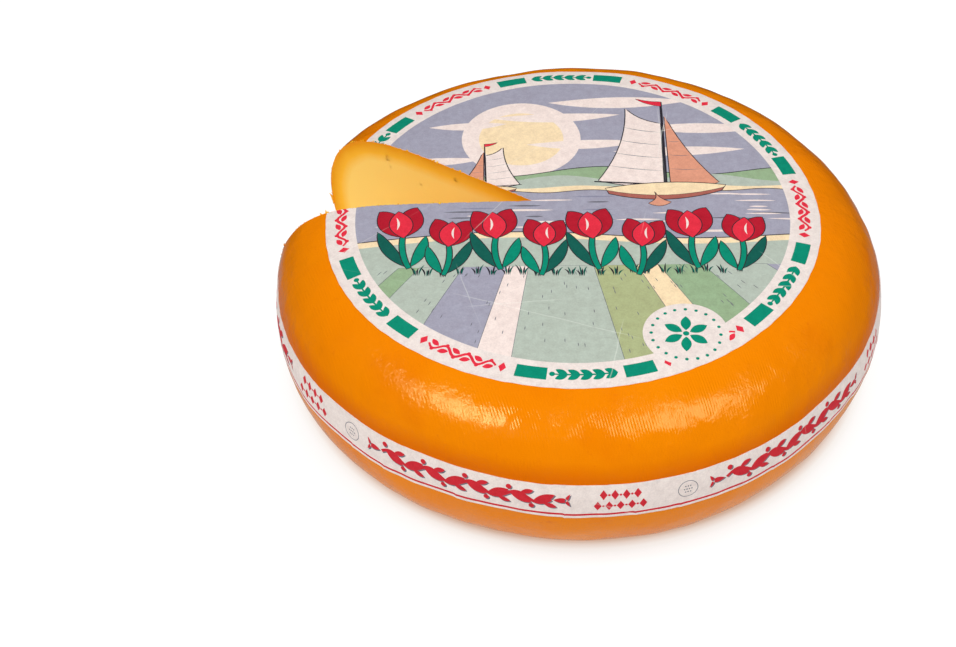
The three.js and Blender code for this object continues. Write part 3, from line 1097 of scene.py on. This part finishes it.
def foot_waver(x):
    """How far the band's foot and its red line stray at each length: the paper sinks by a slope
    and jumps back at each pleat, and wavers by short sines."""
    past = x - np.concatenate([[0], PLEATS])[np.searchsorted(PLEATS, x)]
    jog = 0.012 * np.minimum(past, 40) - 0.24
    return jog + 0.16 * np.sin(x / 7.3) * np.sin(x / 23 + 1) + 0.1 * np.sin(x / 2.9) * np.sin(x / 41)


print("band", round(BAND_LONG), "mm long with", len(PLEATS), "pleats")


# %% Band ornaments
def band_garland(x):
    """A bold wavy stem with a plump leaf over each hollow, a bud on each crest and curled ends, in
    red over a grey shade a little down and to the right."""
    along = np.linspace(0, GARLAND_LONG, 200)
    middle = BAND_TALL / 2 + 1.9
    wave = 2 * math.pi * 4 / GARLAND_LONG
    stem = np.column_stack([along, 3.1 * np.sin(along * wave)])
    parts = [brush(stem, 2.5, 0.25)]
    for one in range(8):
        side = (-1) ** one
        crest = GARLAND_LONG / 8 * (one + 0.5)
        leaf = shape((0, 0, -2.9), (12.5, 5.4, -2.4)) * [1, -side]
        parts.append(leaf + [crest - 3.5, side * 1.6])
        small = shape((0, 0, -1.8), (7.5, 2.2, -1.6)) * [1, side]
        parts.append(small + [crest + 2.5, side * 3.4])
        parts.append(disc(1.7, (crest - 4.6, side * 6.0), 18))
    for end, side in ((-2.6, 1), (GARLAND_LONG + 2.6, -1)):
        parts.append(moved(shape((0, -1.5, -4.2), (-4.6, 8.4, -0.8), (0, 5.4, -0.8), (4.6, 8.4, -4.2)),
                           (end, 0), 90 * side))
    shade = [(part + [x + 0.75, middle - 0.6], "grey") for part in parts]
    return shade + [(part + [x, middle], "cherry") for part in parts]


def band_lattice(x):
    """Two rows of diamonds between small dots, one row longer than the other."""
    shapes = []
    for row, number in ((0, 5), (1, 4)):
        for one in range(number):
            at = np.array([x + 6.6 * (one - (number - 1) / 2), 10.4 + 8.2 * row])
            shapes.append((shape((-2.3, 0, 0), (0, -3.6, 0), (2.3, 0, 0), (0, 3.6, 0)) + at, "cherry"))
            if one:
                shapes.append((disc(0.8, at + [-3.3, 0], 10), "cherry"))
    return shapes


def ring_mark(x):
    """A small thin ring with three short bars of dots."""
    centre = np.array([x, BAND_TALL / 2 + 1.5])
    shapes = [(disc(6.2, centre, 40), "grey"), (disc(5.75, centre, 40), "paper")]
    for row, count in ((-2.2, 3), (0, 4), (2.2, 3)):
        for one in range(count):
            shapes.append((disc(0.5, centre + [1.5 * (one - (count - 1) / 2), row], 8), "grey"))
    return shapes


# %% Lay the band
def band_lay(flat, height):
    """Wraps flat band points round the side: x becomes the bearing and y the height. The outward
    way is level, leaning by the side's slope, and the paper stands off in a ridge at each pleat."""
    bearing = BAND_START + flat[:, 0] * MM / WHEEL_R
    z = (flat[:, 1] + BAND_LOW) * MM
    radius = side_radius(z)
    slope = (side_radius(z + 0.1 * MM) - side_radius(z - 0.1 * MM)) / (0.2 * MM)
    ring = np.column_stack([np.cos(bearing), np.sin(bearing)])
    way = np.column_stack([ring, -slope])
    way /= np.linalg.norm(way, axis=1)[:, None]
    points = np.column_stack([ring * radius[:, None], z])
    off = np.abs(flat[:, :1] - PLEATS).min(1)
    ridge = 0.22 * MM * np.exp(-(off / 1.1) ** 2) * np.clip(1 - flat[:, 1] / 11, 0, 1) * (height > 0)
    return swelled(points + way * (relief(points) + height + ridge)[:, None]), way


def band():
    """The strip with its ragged edges, its red line and its ornaments, cut and wrapped."""
    x = np.linspace(0, BAND_LONG, 900)
    low = np.column_stack([x, 0.6 + foot_waver(x)])
    high = np.column_stack([x, BAND_TALL - 0.2 + 0.5 * foot_waver(x[::-1])])
    line = np.linspace(-5, BAND_LONG + 5, 900)
    red_line = strip(*(np.column_stack([line, height + foot_waver(line)]) for height in (4.1, 2.5)))
    shapes = [(np.concatenate([low, high[::-1]]), "paper", 0), (red_line, "cherry", 0)]
    first = band_place(230.6) - BAND_STEP
    for one in range(7):
        at = first + BAND_STEP * one
        shapes += [(outline, fill, 0) for outline, fill in band_garland(at + 10) + band_lattice(at + 158)
                   + ring_mark(at + 198)]
    rows = np.arange(1.5, BAND_TALL, 4.2)
    lattice = np.stack(np.meshgrid(np.arange(2, BAND_LONG, 4.5), rows), -1).reshape(-1, 2)
    folds = np.stack(np.meshgrid(PLEATS, rows), -1).reshape(-1, 2)
    folds = np.concatenate([folds + [shift, 0] for shift in (-1.3, -0.6, 0, 0.6, 1.3)])
    corners, triangles, inks = cut_print(shapes, np.concatenate([lattice, folds]))
    print("band:", len(shapes), "shapes,", len(triangles), "triangles")
    return lay_paper("band", corners, triangles, inks, band_lay, 0.25 * MM)


band_piece = band()
band_piece.data.materials.append(paper_finish("band_paper"))
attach(band_piece, "root")
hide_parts("side_band")
print("band laid")

# %% [markdown]
# ## Crumbs and slivers
# The knife drags crumbs of paste over the rims of its cuts, and where it left the coat it lifted
# two thin slivers. A crumb is a small squashed ball, rough by a ripple. It sits at a random length
# along the wheel's section, where the cut crosses the circle of that radius. A sliver is a flat
# ribbon that starts on the rim and bends away from it, thin as the coat.

# %% Crumbs
CRUMBS = 84


def rim_point(bearing, radius, height, depth=0.0):
    """A point on the coat at a cut's rim. The cut crosses a circle round the axis at the length
    that solves a square equation, and the coat's relief and swell move the point."""
    inner = APEX @ cut_frame(bearing)[0][:2]
    along = math.sqrt(inner ** 2 - APEX @ APEX + radius ** 2) - inner
    point = on_cut(bearing, along, height, depth)[None]
    return swelled(point + outward(point) * relief(point)[:, None])[0]


def crumb(place, size, seed):
    """A lumpy ball, squashed and turned at random."""
    draw = np.random.default_rng(seed)
    turn = np.linspace(0, math.pi, 7)[1:-1]
    points, faces = revolve(np.sin(turn), -np.cos(turn), 9)
    points = points * (1 + 0.3 * ripple(points, 1.1, seed)[:, None])
    spin, _ = np.linalg.qr(draw.normal(size=(3, 3)))
    spin[0] *= np.sign(np.linalg.det(spin))
    return place + points * size * draw.uniform(0.5, 1.4, 3) @ spin, faces


def joined(parts):
    """Points and faces of several parts as one mesh, with each part's numbers moved on."""
    points, faces, past = [], [], 0
    for part, its_faces in parts:
        points.append(part)
        faces += [face + past for face in its_faces]
        past += len(part)
    return np.concatenate(points), faces


def crumbs():
    """Crumbs along both rims, from low on the side to near the point of the notch. Few are big."""
    draw = np.random.default_rng(8)
    arc = np.concatenate([[0], np.cumsum(np.hypot(np.diff(PROFILE_R), np.diff(PROFILE_Z)))])
    span = arc[np.searchsorted(PROFILE_Z, 25 * MM)], arc[-1] + PROFILE_R[-1] - 44 * MM
    parts = []
    for seed in range(CRUMBS):
        at = draw.uniform(*span)
        radius, height = np.interp(at, arc, PROFILE_R), np.interp(at, arc, PROFILE_Z)
        size = MM * (0.22 + 0.5 * draw.uniform() ** 3)
        bearing = NEAR_CUT if seed % 3 == 0 else FAR_CUT
        place = rim_point(bearing, radius, height, MM * draw.uniform(-0.25, 0.5))
        parts.append(crumb(place + outward(place[None])[0] * 0.35 * MM, size, seed))
    return parts



def sliver(start, reach, bend, across, width):
    """A closed ribbon along a parabola from start: its flat oval section narrows to the tip."""
    share = np.linspace(0, 1, 18)[:, None]
    path = start + (share * reach + share ** 2 * bend) * MM
    turn = np.linspace(0, 2 * math.pi, 10, endpoint=False)
    flat = np.asarray(across, float) / np.linalg.norm(across)
    thick = np.cross(reach, flat) / np.linalg.norm(np.cross(reach, flat))
    half = width / 2 * MM * (1 - share[..., None] ** 1.6) + 0.05 * MM
    thin = 0.22 * MM * (1 - 0.7 * share[..., None])
    grid = path[:, None] + np.cos(turn)[:, None] * flat * half + np.sin(turn)[:, None] * thick * thin
    return grid.reshape(-1, 3), [*grid_faces(18, 10, closed=True), np.arange(10)[::-1], np.arange(10) + 170]


def slivers():
    """A long sliver low on the far cut's outer rim, and two short ones on the near cut's shoulder."""
    low = rim_point(FAR_CUT, float(side_radius(55.5 * MM)), 55.5 * MM, 0.7 * MM)
    top = rim_point(NEAR_CUT, 157 * MM, float(crown_height(157 * MM)) - 0.5 * MM, 0.4 * MM)
    return [sliver(low, (-0.9, -0.6, 9.0), (-2.0, -1.6, 1.2), cut_frame(FAR_CUT)[1], 3.2),
            sliver(top, (-1.0, 0.5, 1.0), (0.2, 0.5, 1.7), (1, 0, 0.6), 2.2),
            sliver(top + [-3.0 * MM, 0, -0.9 * MM], (-1.1, 0.4, 0.6), (-0.5, 0.3, 0.7), (1, 0, 0.6), 1.5)]


parts = crumbs() + slivers()
crumb_piece = make_piece("crumbs", *joined(parts))
depths = [np.full(len(points), 2 + 9 * (number * 0.618 % 1)) for number, (points, _) in enumerate(parts)]
colour = crumb_piece.data.attributes.new("rind_depth", "FLOAT", "POINT")
colour.data.foreach_set("value", np.concatenate(depths).astype(np.float32))
crumb_piece.data.materials.append(cheese.data.materials[1])
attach(crumb_piece, "root")
print(len(parts), "crumbs and slivers")

# %% [markdown]
# ## Floor and light
# The photograph was taken on a small white sweep in a darker room, under two large soft lights
# overhead, left and right of the wheel. They show as two patches on the front shoulder, and their
# places were worked out from where those patches lie. The right one lights by a box of its own,
# so its patch and its light can be set apart. The sweep shows in the coat near the wheel's
# outline, and the dark room above it keeps the rest of the coat deep in colour. So the floor is a
# disc, and floor and room are white to the camera, pale as light, and dark in reflections.
# Near the wheel's foot the floor carries a painted shadow for the camera and a painted reflection for the
# coat.

# %% Studio
SWEEP_R = 0.62
ROOM_LIGHT, ROOM_SHINE = 0.30, 0.006
SHADE_BACK = 27 * MM
SHADE_SPAN = (176 * MM, 202 * MM)
# Painted shadow on the floor: the glow the camera sees, darkened and warmed close to the wheel's foot along
# this ramp.
SHADE_GLOW = [(0.0, (0.36, 0.22, 0.14)), (0.15, (0.49, 0.36, 0.28)), (0.27, (0.65, 0.58, 0.53)),
              (0.42, (0.76, 0.76, 0.74)), (0.62, (0.81, 0.83, 0.83)), (1.0, (0.87, 0.87, 0.87))]

# Painted reflection: what glossy rays see of the floor, brightest close to the wheel and fading to black
# farther out.
MIRROR_SPAN = (0.2, 0.38)
MIRROR_GLOW = [(0.0, (0.34, 0.31, 0.27)), (0.35, (0.12, 0.12, 0.12)), (1.0, (0.0, 0.0, 0.0))]


def soft_light(name, place, size, power, aim=(0, 0, 0.08)):
    """A flat rectangular light at a place, turned to face a point, with its width level."""
    data = bpy.data.lights.new(name, "AREA")
    data.shape, data.size, data.size_y = "RECTANGLE", *size
    data.energy = power
    lamp = bpy.data.objects.new(name, data)
    back = np.array(place, float) - aim
    back /= np.linalg.norm(back)
    side = np.cross([0, 1, 0], back)
    side /= np.linalg.norm(side)
    rows = np.column_stack([side, np.cross(back, side), back, place])
    lamp.matrix_world = Matrix([*rows.tolist(), [0, 0, 0, 1]])
    bpy.context.scene.collection.objects.link(lamp)
    return lamp


def sweep():
    """The white floor: a disc that also glows, a glow that stands in for the light a sweep lit from all
    sides throws back. To the camera it carries a painted shadow: it glows less close to the foot of the
    wheel, by the distance from a point just behind the axis, where the lamps throw the shade. To the coat it
    shows only close by, as a painted reflection that fades away from the foot."""
    finish = Finish("sweep", Roughness=0.9, Specular_IOR_Level=0.0, Emission_Strength=1.0)
    x, y, _ = finish.split()
    away = (x * x + (y - SHADE_BACK) * (y - SHADE_BACK)) ** 0.5
    # The camera's glow, with its painted shadow near the foot.
    glow = finish.node("ShaderNodeValToRGB", {"stops": SHADE_GLOW}, {0: away.share(*SHADE_SPAN)}).socket
    rays = finish.node("ShaderNodeLightPath").socket.node.outputs
    far = away.share(*MIRROR_SPAN)
    # The glossy rays' glow, a painted reflection of the floor near the foot.
    mirrored = finish.node("ShaderNodeValToRGB", {"stops": MIRROR_GLOW}, {0: far}).socket
    unseen = finish.mix(rays["Is Glossy Ray"], (0.95, 0.95, 0.95), mirrored)
    colour = finish.mix(far * rays["Is Glossy Ray"], (0.2, 0.2, 0.2), (0.0, 0.0, 0.0))
    glow = finish.mix(rays["Is Camera Ray"], unseen, glow)
    floor = make_piece("floor", np.column_stack([disc(SWEEP_R), np.zeros(64)]), [range(64)])
    floor.data.materials.append(finish.feed(Base_Color=colour, Emission_Color=glow))


def room():
    """The room: one strength for each kind of ray, out of a base, camera rays and glossy rays."""
    world = bpy.data.worlds.new("room")
    world.use_nodes = True
    tree = world.node_tree
    rays = tree.nodes.new("ShaderNodeLightPath")
    strength = ROOM_LIGHT
    for output, change in (("Is Camera Ray", 1.0 - ROOM_LIGHT), ("Is Glossy Ray", ROOM_SHINE - ROOM_LIGHT)):
        step = tree.nodes.new("ShaderNodeMath")
        step.operation = "MULTIPLY_ADD"
        tree.links.new(rays.outputs[output], step.inputs[0])
        step.inputs[1].default_value = change
        if isinstance(strength, float):
            step.inputs[2].default_value = strength
        else:
            tree.links.new(strength, step.inputs[2])
        strength = step.outputs[0]
    tree.links.new(strength, tree.nodes["Background"].inputs["Strength"])
    tree.nodes["Background"].inputs["Color"].default_value = (1, 1, 1, 1)
    bpy.context.scene.world = world


sweep()
room()
soft_light("left_box", (-0.80, -0.62, 1.46), (0.5, 0.64), 9.0)
right_shine = soft_light("right_shine", (0.83, -0.74, 1.45), (0.92, 0.8), 9.2)
right_shine.visible_diffuse = False
right_box = soft_light("right_box", (0.79, -0.52, 1.55), (1.28, 0.84), 16.0)
front_fill = soft_light("front_fill", (-1.0, -1.6, 2.0), (1.3, 1.3), 20.0)
back_fill = soft_light("back_fill", (0.2, 1.8, 0.9), (1.2, 0.6), 11.0)
for fill in (right_box, front_fill, back_fill):
    fill.visible_glossy = False
bpy.context.scene.view_settings.view_transform = "Standard"
print("studio lit")
